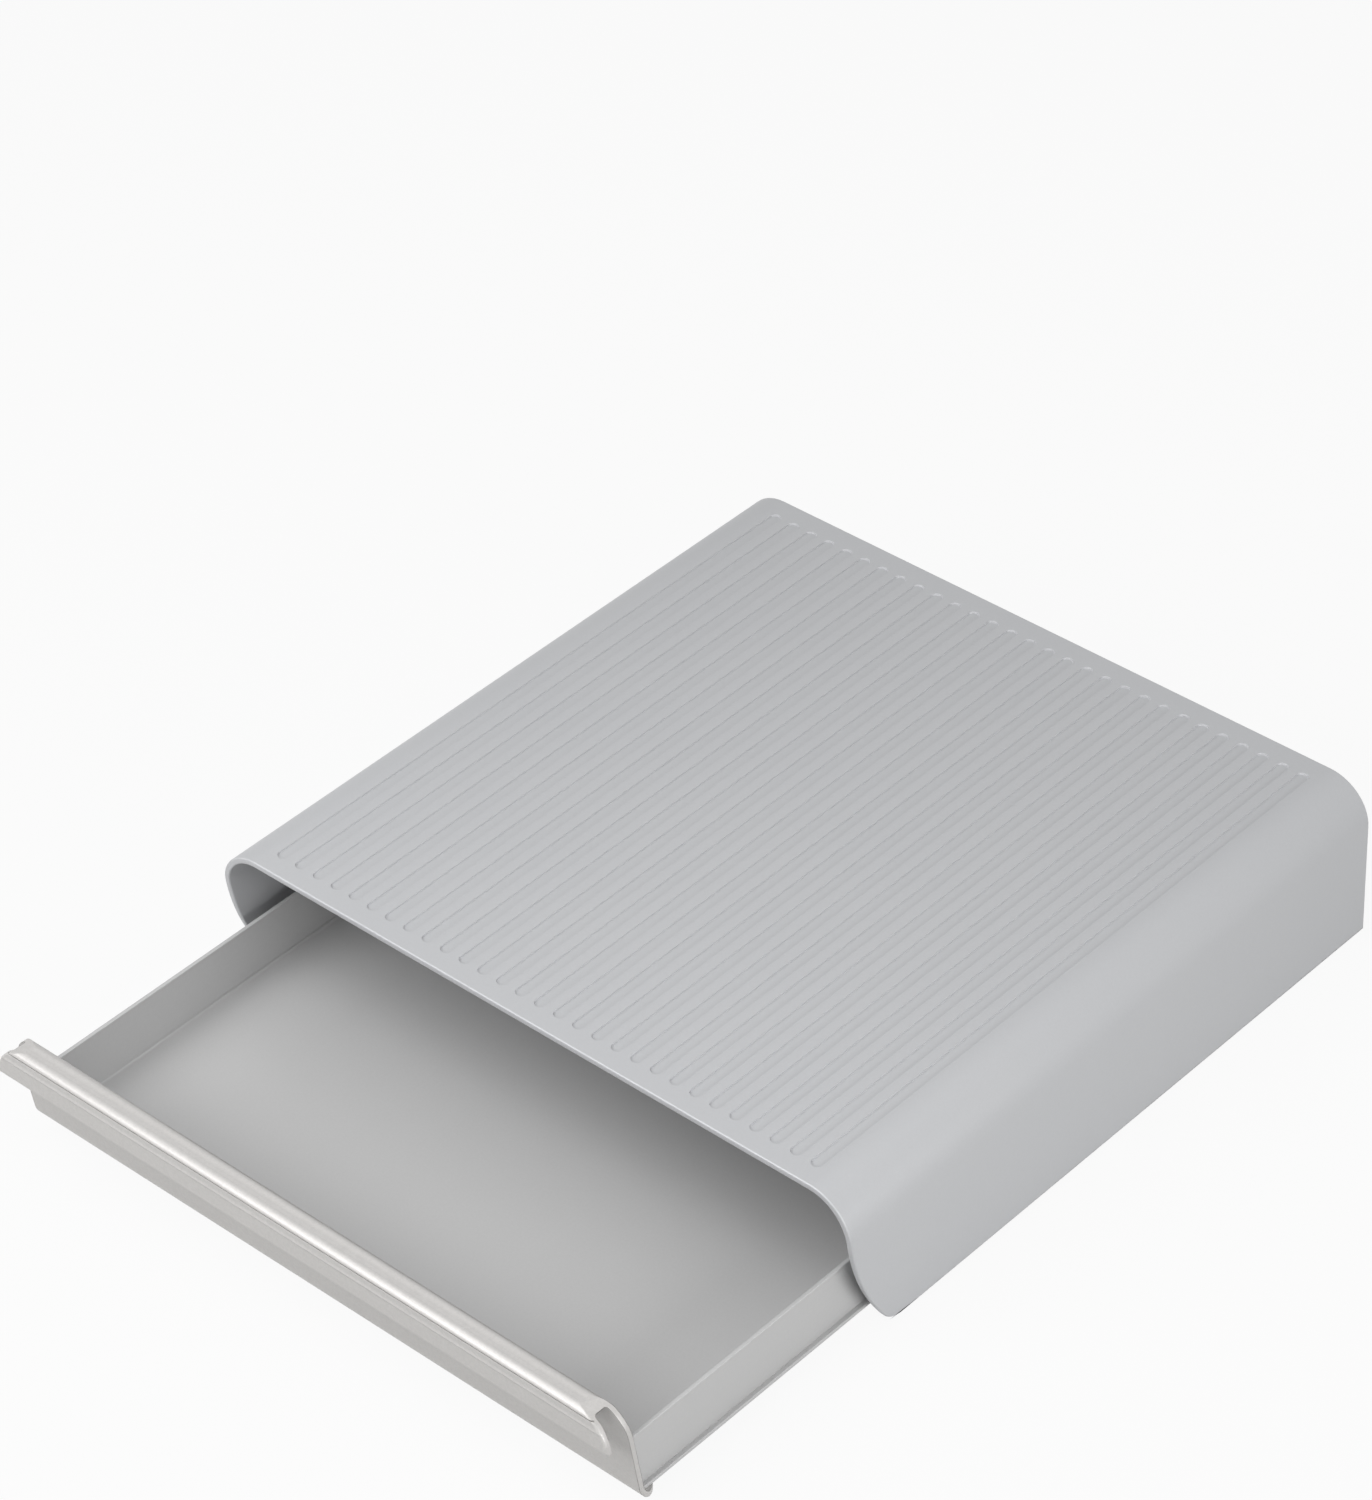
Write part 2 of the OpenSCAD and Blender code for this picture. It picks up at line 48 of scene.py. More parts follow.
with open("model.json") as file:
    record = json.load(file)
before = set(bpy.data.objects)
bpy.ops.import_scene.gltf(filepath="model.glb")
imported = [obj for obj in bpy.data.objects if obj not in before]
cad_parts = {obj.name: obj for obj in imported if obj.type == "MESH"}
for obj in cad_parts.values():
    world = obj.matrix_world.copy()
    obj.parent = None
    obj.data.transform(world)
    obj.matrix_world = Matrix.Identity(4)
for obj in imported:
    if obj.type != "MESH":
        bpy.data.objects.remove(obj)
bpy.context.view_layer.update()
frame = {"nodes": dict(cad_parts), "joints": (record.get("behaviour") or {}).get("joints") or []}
MM = 0.001
SMOOTH_BELOW = radians(38)
UP, FORWARD = (0, 0, 0), (pi / 2, 0, 0)
ABS_IOR = 1.53

COVER_LOW, COVER_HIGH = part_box("housing_cover")
FRONT_LOW, FRONT_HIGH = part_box("drawer_front")
TRAY_LOW, TRAY_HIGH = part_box("drawer_tray")
BASE_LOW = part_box("base_panel")[0]


def linear(hex_colour):
    """A linear colour from an sRGB hex value such as #C4C5C7."""
    channels = [int(hex_colour[i:i + 2], 16) / 255 for i in (1, 3, 5)]
    return [c / 12.92 if c <= 0.04045 else ((c + 0.055) / 1.055) ** 2.4 for c in channels]


def size_of(name, description, default_mm, least_mm=0.05, most_mm=400):
    """A length property whose default is given in millimetres."""
    return FloatProperty(name=name, description=description, default=default_mm * MM,
                         min=least_mm * MM, max=most_mm * MM, precision=5,
                         subtype="DISTANCE", unit="LENGTH")


def angle_of(name, description, default):
    """An angle property whose default is given in degrees."""
    return FloatProperty(name=name, description=description, default=radians(default),
                         subtype="ANGLE", unit="ROTATION")


def colour_of(name, description, hex_colour):
    """A colour property whose default is given as an sRGB hex value."""
    return FloatVectorProperty(name=name, description=description, subtype="COLOR", size=3,
                               min=0, max=1, default=linear(hex_colour))


class CoverSizes(PropertyGroup):
    """Sizes of the cover that its CAD box doesn't give"""

    wall: size_of("Wall", "Thickness of the moulded shell", 2.8)
    corner: size_of("Corner radius", "Outside radius of the two long top corners", 20)
    sweep_from: size_of("Sweep height", "Height at which a side wall starts to sweep back", 64)
    sweep: size_of("Sweep radius", "Radius of the side wall's swept front edge", 105)
    toe: size_of("Toe radius", "Radius where the sweep meets the bottom edge", 10)
    edge: size_of("Edge round", "Rounding of the shell's front and rear rims", 0.7)
    foot_edge: size_of("Foot round", "Rounding of the shell's bottom rims", 0.25)
    channels: IntProperty(name="Channels", description="Number of channels in the top",
                          default=29, min=1, max=29)
    pitch: size_of("Channel pitch", "Distance from one channel to the next", 10)
    channel: size_of("Channel width", "Width of one channel", 5.2)
    depth: size_of("Channel depth", "Depth of one channel", 0.8)
    front: size_of("Front margin", "Plain margin in front of the channels", 8.9)
    rear: size_of("Rear margin", "Plain margin behind the channels", 9.4)
    soften: size_of("Channel round", "Rounding of the channels' edges", 0.39)
    boss: size_of("Boss radius", "Outside radius of a screw boss", 2.55)
    boss_height: size_of("Boss height", "Height of a screw boss", 11)
    pilot: size_of("Pilot radius", "Radius of the hole in a screw boss", 1.15)
    pilot_depth: size_of("Pilot depth", "Depth of the hole in a screw boss", 9)


class FrontSizes(PropertyGroup):
    """Sizes of the drawer's front that its CAD box doesn't give"""

    wall: size_of("Wall", "Thickness of the panel", 2.2)
    lean: angle_of("Lean", "Lean of the panel from the upright", 7.8)
    curl: size_of("Curl radius", "Outside radius of the curl at the panel's foot", 9.5)
    corner: size_of("Corner radius", "Radius of the top corners, seen from the front", 16)
    grip: size_of("Grip depth", "Depth of the finger gap at its roof", 6.4)
    drop: size_of("Flap drop", "Height of the flap", 15)
    flap: size_of("Flap thickness", "Thickness of the flap", 2.8)
    bow: size_of("Flap room", "Room between the flap's thickness and the finger gap", 0.5)
    tilt: size_of("Flap tilt", "How far the flap leans back from its foot to the groove", 0.8)
    bead: size_of("Bead radius", "Radius of the bead along the top of the flap", 3.3)
    dip: size_of("Dip", "Depth of the dip behind the bead", 0.2)
    nose: size_of("Nose radius", "Radius that turns the bead under, above the groove", 0.6)
    groove: size_of("Groove", "Height of the groove under the bead", 0.48)
    ridge: size_of("Ridge", "How far the fine ridge stands out of the flap", 0.3)
    flange: size_of("Flange", "Depth of the flange under the tray", 13)
    flange_corner: size_of("Flange corner", "Radius of the flange's rear corners", 11)
    edge: size_of("Edge round", "Rounding of the front's ends", 0.3)
    rim: size_of("Flap rim", "Rounding of the flap's face toward its ends", 1.2)


class TraySizes(PropertyGroup):
    """Sizes of the tray that its CAD box doesn't give"""

    wall: size_of("Wall", "Thickness of the walls and the floor", 1.8)
    runner: size_of("Runner", "How far the runner stands out of the wall", 2)
    gap: size_of("Gap", "Gap between the tray and the back of the front", 0.1)
    fillet: size_of("Fillet", "Radius inside, between the floor and the walls", 1.6)
    edge: size_of("Edge round", "Rounding of the outer edges", 0.45)
    boss: size_of("Boss radius", "Outside radius of a boss for the front's screws", 2.95)
    boss_height: size_of("Boss height", "Height of a boss for the front's screws", 3.6)


class HardwareSizes(PropertyGroup):
    """Sizes of the screws, feet and buffers"""

    shank: size_of("Shank radius", "Radius of a screw's shank", 1.1)
    head: size_of("Head radius", "Radius of a screw's head", 2.1)
    head_height: size_of("Head height", "Thickness of a screw's head", 1.2)
    cross: size_of("Cross recess", "Length of one arm of the cross recess", 2.3)
    cross_width: size_of("Cross width", "Width of one arm of the cross recess", 0.55)
    cross_depth: size_of("Cross depth", "Depth of the cross recess", 0.75)
    foot_round: size_of("Foot round", "Rounding of a rubber foot's lower edge", 0.7)
    stem: size_of("Stem radius", "Radius of the stem that plugs a foot into the base", 2.4)
    buffer_round: size_of("Buffer round", "Rounding of a buffer's pad", 0.4)


class FinishColours(PropertyGroup):
    """Colours of the object's materials"""

    cover: colour_of("Cover", "Silver-grey ABS of the cover and the rear panel", "#BCBDBF")
    front: colour_of("Front", "Brighter silver ABS of the drawer's front", "#BDBBB9")
    tray: colour_of("Tray", "Silver-grey ABS of the tray", "#BABABA")
    base: colour_of("Base", "Mid-grey ABS of the base panel", "#8A8C8E")
    rail: colour_of("Rails", "Natural acetal of the rails", "#D9D8D2")
    rubber: colour_of("Rubber", "Black rubber of the feet and the buffers", "#232324")
    steel: colour_of("Steel", "Zinc plating of the screws", "#B2B5B8")


class StageSettings(PropertyGroup):
    """Camera and light"""

    azimuth: angle_of("Azimuth", "Camera's turn to the right of the front", 43.89)
    elevation: angle_of("Elevation", "Camera's height above the floor, as an angle", 38.10)
    roll: angle_of("Roll", "Camera's turn about its own axis", -2.79)
    distance: size_of("Distance", "Distance from the camera to the point it looks at",
                      2200, 500, 9000)
    target: FloatVectorProperty(name="Target", description="Point that the camera looks at",
                                default=(-0.09961, 0.10643, 0.03120), subtype="XYZ", size=3)
    lens: FloatProperty(name="Lens", description="Focal length on a 36 mm sensor",
                        default=126.62, min=20, max=300)
    floor: colour_of("Floor", "Colour of the studio floor", "#BEBEBD")


# Selecting and shaping


def rest():
    """Back in object mode with nothing selected."""
    if bpy.context.mode != "OBJECT":
        bpy.ops.object.mode_set(mode="OBJECT")
    bpy.ops.object.select_all(action="DESELECT")


def hold(piece):
    """Only this piece is selected and active."""
    rest()
    piece.select_set(True)
    bpy.context.view_layer.objects.active = piece


def edit(piece):
    """Opens the piece in edit mode with nothing selected."""
    hold(piece)
    bpy.ops.object.mode_set(mode="EDIT")
    bpy.ops.mesh.select_all(action="DESELECT")


def pick(piece, kind, test):
    """Selects the vertices, edges or faces that pass the test."""
    bpy.ops.mesh.select_mode(type=kind)
    bpy.ops.mesh.select_all(action="DESELECT")
    mesh = bmesh.from_edit_mesh(piece.data)
    items = {"VERT": mesh.verts, "EDGE": mesh.edges, "FACE": mesh.faces}[kind]
    chosen = [item for item in items if test(item)]
    for item in chosen:
        item.select_set(True)
    mesh.select_flush_mode()
    bmesh.update_edit_mesh(piece.data)
    if not chosen:
        raise RuntimeError(f"{piece.name}: nothing to select")


def middle(item):
    """Middle of an edge or a face."""
    return sum((v.co for v in item.verts), Vector()) / len(item.verts)


def near(a, b, within=0.02 * MM):
    """Whether two lengths are alike, to a fiftieth of a millimetre."""
    return abs(a - b) < within


def lies_at(item, axis, value):
    """Whether an edge or a face lies at that x, y or z. Left and right count alike for x."""
    if axis == "x":
        return all(near(abs(v.co.x), value) for v in item.verts)
    return all(near(getattr(v.co, axis), value) for v in item.verts)


def sharp(edge, angle=45):
    """Whether the two faces of an edge turn by more than that many degrees."""
    return edge.calc_face_angle(0) > radians(angle)


def upward(face):
    """Whether a face looks up."""
    return face.normal.z > 0.9


def steps(start, end, count):
    """Even steps that lead from start to end, without the start itself."""
    return [start + (end - start) * i / count for i in range(1, count + 1)]


def arc(across, up, radius, start, end, count):
    """Points of a round about a centre, between two angles in degrees."""
    angles = [radians(angle) for angle in [start] + steps(start, end, count)]
    return [(across + radius * cos(a), up + radius * sin(a)) for a in angles]


def named(name):
    """Names the primitive that was just added, puts its place into its mesh and returns it."""
    piece = bpy.context.object
    piece.name = piece.data.name = name
    bpy.ops.object.transform_apply(location=True, rotation=True, scale=True)
    return piece


def block(name, low, high):
    """A box between two corners."""
    rest()
    low, high = Vector(low), Vector(high)
    bpy.ops.mesh.primitive_cube_add(size=1, location=(low + high) / 2, scale=high - low)
    return named(name)


def axis_of(turn):
    """Where a peg with that turn points."""
    return Matrix.Rotation(turn[0], 3, "X") @ Vector((0, 0, 1))


def peg(name, foot, radius, height, sides=48, turn=UP):
    """A cylinder that stands on its foot point, turned about that point."""
    rest()
    bpy.ops.mesh.primitive_cylinder_add(vertices=sides, radius=radius, depth=height,
                                        location=Vector(foot) + axis_of(turn) * height / 2,
                                        rotation=turn)
    return named(name)


def trace(name, points):
    """A line drawn by extruding one vertex from point to point."""
    rest()
    bpy.ops.mesh.primitive_plane_add(size=MM)
    piece = named(name)
    edit(piece)
    bpy.ops.mesh.select_mode(type="VERT")
    take_all()
    bpy.ops.mesh.merge(type="CENTER")
    bpy.ops.transform.translate(value=points[0])
    for start, end in zip(points, points[1:]):
        move = Vector(end) - Vector(start)
        bpy.ops.mesh.extrude_vertices_move(TRANSFORM_OT_translate={"value": move})
    return piece


def extrude(move):
    """Extrudes what is selected."""
    bpy.ops.mesh.extrude_region_move(TRANSFORM_OT_translate={"value": Vector(move)})


def scale(x, y, z, centre=(0, 0, 0)):
    """Scales what is selected about a point."""
    bpy.ops.transform.resize(value=(x, y, z), center_override=centre)


def take_all():
    """Selects the whole mesh."""
    bpy.ops.mesh.select_all(action="SELECT")


def merge_close():
    """Merges vertices that lie within a micrometre, and leaves the whole mesh selected."""
    take_all()
    bpy.ops.mesh.remove_doubles(threshold=0.001 * MM)
    take_all()


def face_outwards():
    """Turns all faces outwards."""
    take_all()
    bpy.ops.mesh.normals_make_consistent(inside=False)


def cut(place, normal, snap=0.1 * MM):
    """Cuts through the whole piece with a plane, using the vertices that lie within snap."""
    take_all()
    bpy.ops.mesh.bisect(plane_co=place, plane_no=normal, threshold=snap)


def round_over(piece, width, segments, test):
    """Bevels the edges that pass the test."""
    pick(piece, "EDGE", test)
    bpy.ops.mesh.bevel(offset=width, segments=segments, affect="EDGES")


def settle(piece, place=(0, 0, 0), turn=UP):
    """Puts a piece in its place, and the change into its mesh."""
    hold(piece)
    piece.location, piece.rotation_euler = place, turn
    bpy.ops.object.transform_apply(location=True, rotation=True, scale=True)


def modify(piece, kind, **settings):
    """Adds a modifier and applies it."""
    hold(piece)
    bpy.ops.object.modifier_add(type=kind)
    modifier = piece.modifiers[-1]
    for key, value in settings.items():
        setattr(modifier, key, value)
    bpy.ops.object.modifier_apply(modifier=modifier.name)


def carve(piece, tool, operation="DIFFERENCE"):
    """Takes the tool away from the piece, or joins the two, and deletes the tool."""
    modify(piece, "BOOLEAN", object=tool, operation=operation, solver="MANIFOLD")
    bpy.data.meshes.remove(tool.data)


def join(piece, others):
    """Joins loose solids into one object."""
    hold(piece)
    for other in others:
        other.select_set(True)
    bpy.ops.object.join()
    return piece


def copied(piece, name):
    """A copy with its own mesh."""
    hold(piece)
    bpy.ops.object.duplicate()
    twin = bpy.context.object
    twin.name = twin.data.name = name
    return twin


def loose_parts(node):
    """Lowest and highest corner of each separate solid in a CAD node."""
    copy = copied(frame["nodes"][node], "measure")
    copy.parent = None
    edit(copy)
    merge_close()
    bpy.ops.mesh.separate(type="LOOSE")
    bpy.ops.object.mode_set(mode="OBJECT")
    corners = []
    for part in bpy.context.selected_objects:
        places = [v.co for v in part.data.vertices]
        corners.append(tuple(Vector([least(p[i] for p in places) for i in range(3)])
                             for least in (min, max)))
        bpy.data.meshes.remove(part.data)
    return sorted(corners, key=lambda pair: tuple(pair[0]))


def centres(node):
    """Middle of each separate solid in a CAD node."""
    return [(low + high) / 2 for low, high in loose_parts(node)]


def dress(piece, finish, body, node):
    """Smooths the piece, gives it its finish and ties it to the frame."""
    make, slot = FINISHES[finish]
    if finish not in MADE:
        MADE[finish] = make(list(getattr(bpy.context.scene.pod_colours, finish)))
    hold(piece)
    bpy.ops.object.shade_smooth_by_angle(angle=SMOOTH_BELOW)
    modify(piece, "WEIGHTED_NORMAL", keep_sharp=True, weight=60)
    piece.data.materials.clear()
    piece.data.materials.append(MADE[finish])
    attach(piece, body)
    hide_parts(node)


# Materials. Patterns are as large as on the real part, given in millimetres; the ones too
# fine to show are drawn coarser, and say so.


def add(tree, kind, links=(), **settings):
    """Adds a shader node. Settings go to its attributes or sockets, links are (socket, source)
    pairs."""
    node = tree.nodes.new(f"ShaderNode{kind}")
    for key, value in settings.items():
        label = key.replace("_", " ")
        if label in node.inputs:
            node.inputs[label].default_value = value
        else:
            setattr(node, key, value)
    for socket, source in links:
        tree.links.new(source, node.inputs[socket])
    return node


def bare_tree(owner):
    """The emptied node tree of a material or a world."""
    owner.use_nodes = True
    owner.node_tree.nodes.clear()
    return owner.node_tree


def fresh(name, **settings):
    """A new material with its shader set up, and the place on the object."""
    material = bpy.data.materials.new(name)
    tree = bare_tree(material)
    shader = add(tree, "BsdfPrincipled", **settings)
    add(tree, "OutputMaterial", [("Surface", shader.outputs[0])])
    return material, tree, shader, add(tree, "TexCoord").outputs["Object"]


def clouds(tree, place, size, detail):
    """Soft clouds, about that many millimetres across."""
    return add(tree, "TexNoise", [("Vector", place)], Scale=1 / (size * MM),
               Detail=detail).outputs["Fac"]


def cells(tree, place, size):
    """Separate cells, about that many millimetres across."""
    return add(tree, "TexVoronoi", [("Vector", place)], Scale=1 / (size * MM)).outputs


def drawn_out(tree, place, times):
    """The place on the object, with patterns so many times longer along Y."""
    return add(tree, "Mapping", [("Vector", place)],
               Scale=(1, 1 / times, 1)).outputs["Vector"]


def shade(colour, factor):
    """A colour made lighter or darker, with full alpha."""
    return [min(1, c * factor) for c in colour] + [1]


def tint(tree, pattern, colour, dark, light):
    """The colour, made darker and lighter by a pattern."""
    return add(tree, "Mix", [("Factor", pattern)], data_type="RGBA",
               A=shade(colour, dark), B=shade(colour, light)).outputs["Result"]


def ranged(tree, value, low, high):
    """A value from 0 to 1, stretched to run from low to high."""
    return add(tree, "MapRange", [("Value", value)], To_Min=low,
               To_Max=high).outputs["Result"]


def coat(tree, shader, colour, gloss=None, relief=None):
    """Gives the shader its colour, its roughness as (pattern, low, high), and a fine relief
    as (pattern, strength, depth in millimetres)."""
    tree.links.new(colour, shader.inputs["Base Color"])
    if gloss:
        tree.links.new(ranged(tree, *gloss), shader.inputs["Roughness"])
    if relief:
        pattern, strength, depth = relief
        bump = add(tree, "Bump", [("Height", pattern)], Strength=strength,
                   Distance=depth * MM)
        tree.links.new(bump.outputs["Normal"], shader.inputs["Normal"])


def cover_abs(colour):
    """Silver-pigmented ABS, injection moulded in a spark-eroded tool: an even satin skin whose
    fine grain breaks up reflections, with faint clouds where the pigment flowed."""
    material, tree, shader, place = fresh("Silver ABS, spark-eroded satin", Metallic=0.12,
                                          IOR=ABS_IOR)
    # A real grain of 0.3 mm is too fine to show, so it is drawn at 0.9 mm
    grain = clouds(tree, place, 0.9, 2)
    tone = tint(tree, grain, colour, 0.965, 1.035)
    flow = add(tree, "Mix", [("Factor", clouds(tree, place, 60, 3)), ("A", tone)],
               data_type="RGBA", blend_type="MULTIPLY", B=(0.975, 0.978, 0.985, 1))
    coat(tree, shader, flow.outputs["Result"], (grain, 0.40, 0.50), (grain, 0.05, 0.03))
    return material


def front_abs(colour):
    """Silver-pearl ABS from a polished tool: the same plastic with more flake and a smoother
    skin, so that the bead and the flap catch long bright lines."""
    material, tree, shader, place = fresh("Silver pearl ABS, semi-polished", Metallic=0.22,
                                          IOR=ABS_IOR)
    # Real flakes are finer than 0.1 mm, so they are drawn at 0.8 mm
    flake = cells(tree, place, 0.8)
    coat(tree, shader, tint(tree, flake["Color"], colour, 0.95, 1.05),
         (clouds(tree, place, 45, 4), 0.36, 0.44), (flake["Distance"], 0.06, 0.02))
    return material


def tray_abs(colour):
    """Silver-grey ABS of the tray, moulded with a plainer tool: satin, with light rub marks
    from pods and from the rails."""
    material, tree, shader, place = fresh("Silver-grey ABS, satin tray", Metallic=0.10,
                                          IOR=ABS_IOR)
    # As on the cover, a grain of 0.3 mm is drawn coarser. Pods slide from front to back.
    grain = clouds(tree, place, 1.1, 2)
    rubs = clouds(tree, drawn_out(tree, place, 60), 1.6, 3)
    coat(tree, shader, tint(tree, grain, colour, 0.965, 1.035), (rubs, 0.36, 0.54),
         (grain, 0.10, 0.03))
    return material


def base_abs(colour):
    """Regrind ABS of the base panel, moulded with a coarse stipple that hides sink marks."""
    material, tree, shader, place = fresh("Mid-grey ABS, stippled", Roughness=0.58, IOR=ABS_IOR)
    coat(tree, shader, tint(tree, clouds(tree, place, 6, 5), colour, 0.90, 1.08),
         relief=(cells(tree, place, 1.4)["Distance"], 0.3, 0.06))
    return material


def rail_acetal(colour):
    """Natural acetal, moulded: waxy, slightly yellow white, polished where the runner slides."""
    material, tree, shader, place = fresh("Natural acetal, moulded", IOR=1.48,
                                          Subsurface_Weight=0.15,
                                          Subsurface_Radius=(0.0012, 0.0011, 0.0009))
    slide = clouds(tree, drawn_out(tree, place, 80), 1.2, 3)
    coat(tree, shader, tint(tree, slide, colour, 0.93, 1.02), (slide, 0.30, 0.48))
    return material


def black_rubber(colour):
    """Moulded nitrile rubber: matt black with a dusty bloom and a fine pebble."""
    material, tree, shader, place = fresh("Nitrile rubber, moulded", Roughness=0.72, IOR=1.52)
    coat(tree, shader, tint(tree, clouds(tree, place, 4, 4), colour, 0.75, 1.9),
         relief=(cells(tree, place, 0.7)["Distance"], 0.25, 0.05))
    return material


def zinc_steel(colour):
    """Rolled-thread steel screws, zinc plated: pale metal with a cloudy bright plating."""
    material, tree, shader, place = fresh("Zinc-plated steel", Metallic=1)
    plate = clouds(tree, place, 1.2, 4)
    coat(tree, shader, tint(tree, plate, colour, 0.82, 1.06), (plate, 0.22, 0.42))
    return material


# Each finish: what makes its material, and the name of its slot
FINISHES = {"cover": (cover_abs, "cover_plastic"), "front": (front_abs, "front_plastic"),
            "tray": (tray_abs, "tray_plastic"), "base": (base_abs, "base_plastic"),
            "rail": (rail_acetal, "rail_plastic"), "rubber": (black_rubber, "black_rubber"),
            "steel": (zinc_steel, "screw_steel")}
MADE = {}


# The cover


def sweep_meets_toe(sizes):
    """Height above the cover's foot where the sweep passes into the toe's round."""
    rise = sizes.sweep_from - sizes.toe
    return sizes.sweep_from - rise * sizes.sweep / (sizes.sweep - sizes.toe)


def sweep_setback(sizes, height):
    """How far behind the cover's front a side wall's edge lies, at a height above its foot."""
    reach = sizes.sweep - sizes.toe
    rise = sizes.sweep_from - sizes.toe
    toe_back = sizes.sweep - sqrt(reach ** 2 - rise ** 2)
    if height >= sizes.sweep_from:
        return 0
    if height >= sweep_meets_toe(sizes):
        return sizes.sweep - sqrt(sizes.sweep ** 2 - (sizes.sweep_from - height) ** 2)
    return toe_back - sqrt(max(0, sizes.toe ** 2 - (sizes.toe - height) ** 2))


def cover_outline(sizes):
    """Front edge of the cover's right half, from the middle of the top down to the toe."""
    x, y, z, foot = COVER_HIGH.x, COVER_LOW.y, COVER_HIGH.z, COVER_LOW.z
    flat, bend = x - sizes.corner, z - sizes.corner
    lines = int(flat / sizes.pitch)
    across = [(0, z)] + [((i + 0.5) * sizes.pitch, z) for i in range(lines)]
    corner = arc(flat, bend, sizes.corner, 90, 0, 18)
    meet = sweep_meets_toe(sizes)
    wall = [(x, height) for height in steps(bend, foot + meet, 20)]
    turns = steps(acos(1 - meet / sizes.toe), 0, 12)
    toe = [(x, foot + sizes.toe * (1 - cos(turn))) for turn in turns]
    return [(px, y + sweep_setback(sizes, pz - foot), pz)
            for px, pz in across + corner + wall + toe]


def channel_cutters(sizes):
    """One round-ended channel cutter, pulled out of a cylinder and repeated across the top."""
    sides = 24
    half_step = pi / sides
    radius = sizes.channel / 2 / cos(half_step)
    first = -(sizes.channels - 1) / 2 * sizes.pitch
    low = COVER_LOW.y + sizes.front + sizes.channel / 2
    high = COVER_HIGH.y - sizes.rear - sizes.channel / 2
    cutter = peg("channel_cutter", (first, low, COVER_HIGH.z - sizes.depth), radius,
                 2 * sizes.depth, sides, (0, 0, half_step))
    edit(cutter)
    pick(cutter, "VERT", lambda v: v.co.y > low)
    bpy.ops.transform.translate(value=(0, high - low, 0))
    modify(cutter, "ARRAY", count=sizes.channels, use_relative_offset=False,
           use_constant_offset=True, constant_offset_displace=(sizes.pitch, 0, 0))
    return cutter


def boss(name, foot, turn, sizes):
    """Screw boss with its pilot hole, standing on the face that it clamps."""
    post = peg(name, foot, sizes.boss, sizes.boss_height, 32, turn)
    start = Vector(foot) - axis_of(turn) * MM
    carve(post, peg("pilot", start, sizes.pilot, sizes.pilot_depth + MM, 24, turn))
    return post


class POD_OT_cover(Operator):
    """Model the cover: top, corners, swept side walls, channels and screw bosses"""

    bl_idname = "pod.cover"
    bl_label = "Cover"

    def execute(self, context):
        sizes = context.scene.pod_cover
        cover = trace("cover_shell", cover_outline(sizes))
        take_all()
        extrude((0, COVER_HIGH.y - COVER_LOW.y, 0))
        scale(1, 0, 1, (0, COVER_HIGH.y, 0))
        modify(cover, "MIRROR", use_axis=(True, False, False), merge_threshold=0.01 * MM)
        edit(cover)
        face_outwards()
        modify(cover, "SOLIDIFY", thickness=sizes.wall, offset=-1, use_even_offset=True)
        edit(cover)
        foot = COVER_LOW.z
        round_over(cover, sizes.edge, 4, lambda e: sharp(e) and not lies_at(e, "z", foot))
        round_over(cover, sizes.foot_edge, 2, lambda e: sharp(e) and lies_at(e, "z", foot))
        carve(cover, channel_cutters(sizes))
        self.soften_channels(cover, sizes)
        join(cover, self.bosses(sizes))
        dress(cover, "cover", "housing", "housing_cover")
        return {"FINISHED"}

    def soften_channels(self, cover, sizes):
        """Rounds the channels' upper edges and fills the corners of their floors."""
        edit(cover)
        floor = COVER_HIGH.z - sizes.depth
        front = COVER_LOW.y + sizes.front - MM
        for level in (COVER_HIGH.z, floor):
            round_over(cover, sizes.soften, 2, lambda e: lies_at(e, "z", level)
                       and middle(e).y > front and sharp(e, 60))

    def bosses(self, sizes):
        """Bosses above the side screws and in front of the rear panel's screws."""
        gap = 0.1 * MM
        rows = [("rail_screws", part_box("left_rail")[1].z + gap),
                ("stop_block_screws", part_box("left_stop_block")[1].z + gap)]
        feet = [((place.x, place.y, foot), UP) for node, foot in rows
                for place in centres(node)]
        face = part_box("rear_panel")[0].y - gap
        feet += [((place.x, face, place.z), FORWARD) for place in centres("rear_panel_screws")]
        return [boss(f"boss_{i}", foot, turn, sizes) for i, (foot, turn) in enumerate(feet)]


# The drawer's front. Its side view is drawn as (distance behind the foot of the flap's face,
# height above the front's foot).


def gap_roof(sizes):
    """Height of the finger gap's roof, which is a little thinner than the panel."""
    roof_share = 0.8
    return FRONT_HIGH.z - FRONT_LOW.z - sizes.dip - roof_share * sizes.wall


def panel_face(sizes, height):
    """Distance of the leaning panel's face, at a height."""
    gap_back = sizes.flap + sizes.bow + sizes.grip
    return gap_back + (gap_roof(sizes) - height) * tan(sizes.lean)


def curl_centre(sizes):
    """Distance of the centre of the curl at the panel's foot."""
    return panel_face(sizes, 0) + sizes.curl * tan((pi / 2 - sizes.lean) / 2)


def panel_back(sizes, height):
    """Distance of the back of the front, at a height."""
    straight = panel_face(sizes, height) + sizes.wall / cos(sizes.lean)
    inside, below = sizes.curl - sizes.wall, sizes.curl - height
    if 0 < below < inside:
        return max(straight, curl_centre(sizes) - sqrt(inside ** 2 - below ** 2))
    return straight


